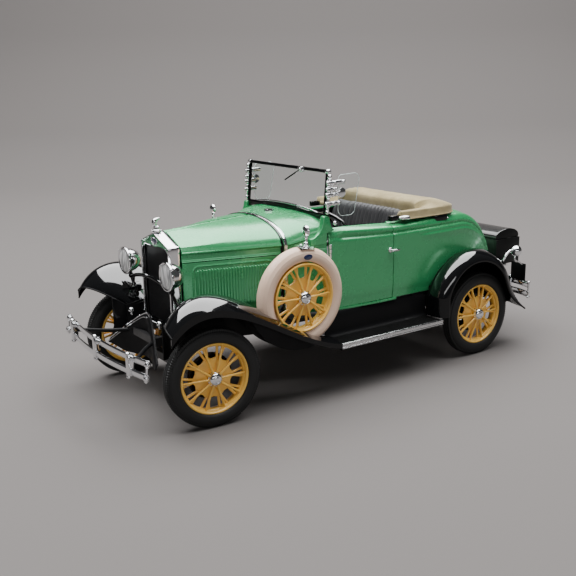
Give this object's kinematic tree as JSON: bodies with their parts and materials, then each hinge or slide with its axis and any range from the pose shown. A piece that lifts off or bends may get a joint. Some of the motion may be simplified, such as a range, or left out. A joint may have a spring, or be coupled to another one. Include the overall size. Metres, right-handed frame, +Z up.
{
  "type": "diecast collector car",
  "caption": "Open two-seat roadster of about 1930 as a 1:18 collector model, with side-mounted spares, folded top, rear trunk, opening doors, hood and lids.",
  "frame": {"origin": "on the surface that the car stands on, under the middle of its length and width", "axes": "+X towards the front bumper, +Y to the left side of the car, +Z up"},
  "size_m": [0.225, 0.093, 0.0952],
  "materials": {
    "body_green": "gloss",
    "fender_black": "gloss",
    "gloss_black": "gloss",
    "frame_black": "satin",
    "trunk_black": "satin",
    "chrome": "polished",
    "bright_trim": "satin",
    "axle_steel": "satin",
    "exhaust_steel": "satin",
    "engine_paint": "satin",
    "grille_black": "matte",
    "instrument_metal": "satin",
    "seat_vinyl": "satin",
    "top_fabric": "matte",
    "clear_glass": "clear",
    "lamp_glass": "clear",
    "cover_vinyl": "satin",
    "wheel_yellow": "gloss",
    "tyre_rubber": "satin",
    "board_rubber": "satin"
  },
  "bodies": {
    "car_body": {"chassis_frame": "frame_black", "floor_pan": "frame_black", "leaf_springs": "frame_black", "front_axle": "frame_black", "rear_axle_housing": "frame_black", "exhaust": "exhaust_steel", "engine_block": "engine_paint", "cylinder_head": "engine_paint", "radiator_core": "grille_black", "radiator_shell": "chrome", "radiator_cap": "chrome", "cowl": "body_green", "body_tub": "body_green", "cowl_band": "gloss_black", "dashboard": "instrument_metal", "steering_column": "frame_black", "seat_cushion": "seat_vinyl", "seat_back": "seat_vinyl", "soft_top": "top_fabric", "windshield_frame": "gloss_black", "windshield_glass": "clear_glass", "front_fender_left": "fender_black", "front_fender_right": "fender_black", "rear_fender_left": "fender_black", "rear_fender_right": "fender_black", "running_boards": "board_rubber", "board_trims": "bright_trim", "front_bumper": "chrome", "rear_bumpers": "chrome", "headlight_bar": "gloss_black", "headlight_shells": "chrome", "headlight_lenses": "lamp_glass", "horn": "gloss_black", "spare_covers": "cover_vinyl", "spare_rims": "wheel_yellow", "spare_mirrors": "chrome", "tail_lamps": "chrome", "luggage_rack": "gloss_black", "trunk_body": "trunk_black"},
    "rear_axle": {"rear_shaft": "axle_steel", "tyres_rear": "tyre_rubber", "rims_rear": "wheel_yellow"},
    "knuckle_left": {"knuckle_left": "frame_black"},
    "wheel_front_left": {"tyre_front_left": "tyre_rubber", "rim_front_left": "wheel_yellow"},
    "knuckle_right": {"knuckle_right": "frame_black"},
    "wheel_front_right": {"tyre_front_right": "tyre_rubber", "rim_front_right": "wheel_yellow"},
    "tie_rod": {"tie_rod": "frame_black"},
    "steering_wheel": {"steering_wheel": "gloss_black"},
    "door_left": {"door_left": "body_green"},
    "door_right": {"door_right": "body_green"},
    "hood_top_left": {"hood_top_left": "body_green"},
    "hood_side_left": {"hood_side_left": "body_green"},
    "hood_top_right": {"hood_top_right": "body_green"},
    "hood_side_right": {"hood_side_right": "body_green"},
    "rumble_lid": {"rumble_lid": "body_green"},
    "trunk_lid": {"trunk_lid": "trunk_black"},
    "wind_wing_left": {"wind_wing_left": "clear_glass"},
    "wind_wing_right": {"wind_wing_right": "clear_glass"}
  },
  "joints": [
    {"name": "steer_left", "type": "hinge", "parent": "car_body", "child": "knuckle_left", "pos_m": [0.0795, 0.033, 0.0201], "axis": [0, 0, 1], "range_deg": [-20, 30]},
    {"name": "steer_right", "type": "hinge", "parent": "car_body", "child": "knuckle_right", "pos_m": [0.0795, -0.033, 0.0201], "axis": [0, 0, 1], "range_deg": [-20, 30]},
    {"name": "tie_rod_turn", "type": "hinge", "parent": "knuckle_left", "child": "tie_rod", "pos_m": [0.07053, 0.03378, 0.0144], "axis": [0, 0, 1], "range_deg": [-30, 20]},
    {"name": "steering_wheel_turn", "type": "hinge", "parent": "car_body", "child": "steering_wheel", "pos_m": [-0.0025, 0.014, 0.0645], "axis": [-0.8, 0, 0.6], "range_deg": [-80, 120]},
    {"name": "front_left_spin", "type": "hinge", "parent": "knuckle_left", "child": "wheel_front_left", "pos_m": [0.08007, 0.03948, 0.0201], "axis": [0.0872, 0.9962, 0], "continuous": true},
    {"name": "front_right_spin", "type": "hinge", "parent": "knuckle_right", "child": "wheel_front_right", "pos_m": [0.07893, -0.03948, 0.0201], "axis": [0.0872, 0.9962, 0], "continuous": true},
    {"name": "rear_axle_spin", "type": "hinge", "parent": "car_body", "child": "rear_axle", "pos_m": [-0.0665, 0, 0.0201], "axis": [0, 1, 0], "continuous": true},
    {"name": "door_left_open", "type": "hinge", "parent": "car_body", "child": "door_left", "pos_m": [0.0168, 0.0324, 0.044], "axis": [0, 0, -1], "range_deg": [0, 50]},
    {"name": "door_right_open", "type": "hinge", "parent": "car_body", "child": "door_right", "pos_m": [0.0168, -0.0324, 0.044], "axis": [0, 0, 1], "range_deg": [0, 50]},
    {"name": "hood_left_open", "type": "hinge", "parent": "car_body", "child": "hood_top_left", "pos_m": [0.0361, 0, 0.07415], "axis": [0.9985, 0, -0.0547], "range_deg": [0, 38]},
    {"name": "hood_side_left_fold", "type": "hinge", "parent": "hood_top_left", "child": "hood_side_left", "pos_m": [0.0777, 0.01282, 0.0608], "axis": [0.9612, -0.2759, 0], "range_deg": [-38, 0]},
    {"name": "hood_right_open", "type": "hinge", "parent": "car_body", "child": "hood_top_right", "pos_m": [0.0361, 0, 0.07415], "axis": [-0.9985, 0, 0.0547], "range_deg": [0, 38]},
    {"name": "hood_side_right_fold", "type": "hinge", "parent": "hood_top_right", "child": "hood_side_right", "pos_m": [0.0777, -0.01282, 0.0608], "axis": [-0.9612, -0.2759, 0], "range_deg": [-38, 0]},
    {"name": "rumble_lid_open", "type": "hinge", "parent": "car_body", "child": "rumble_lid", "pos_m": [-0.0847, 0, 0.0564], "axis": [0, -1, 0], "range_deg": [0, 65]},
    {"name": "trunk_lid_open", "type": "hinge", "parent": "car_body", "child": "trunk_lid", "pos_m": [-0.095, 0, 0.0502], "axis": [0, 1, 0], "range_deg": [0, 60]},
    {"name": "wind_wing_left_turn", "type": "hinge", "parent": "car_body", "child": "wind_wing_left", "pos_m": [0.0181, 0.0318, 0.0684], "axis": [-0.0886, 0, 0.9961], "range_deg": [-30, 30]},
    {"name": "wind_wing_right_turn", "type": "hinge", "parent": "car_body", "child": "wind_wing_right", "pos_m": [0.0181, -0.0318, 0.0684], "axis": [-0.0886, 0, 0.9961], "range_deg": [-30, 30]}
  ],
  "couplings": [
    {"joint": "steer_right", "follows": "steer_left", "ratio": 1},
    {"joint": "tie_rod_turn", "follows": "steer_left", "ratio": -1},
    {"joint": "steering_wheel_turn", "follows": "steer_left", "ratio": 4},
    {"joint": "hood_side_left_fold", "follows": "hood_left_open", "ratio": -1},
    {"joint": "hood_side_right_fold", "follows": "hood_right_open", "ratio": -1}
  ]
}
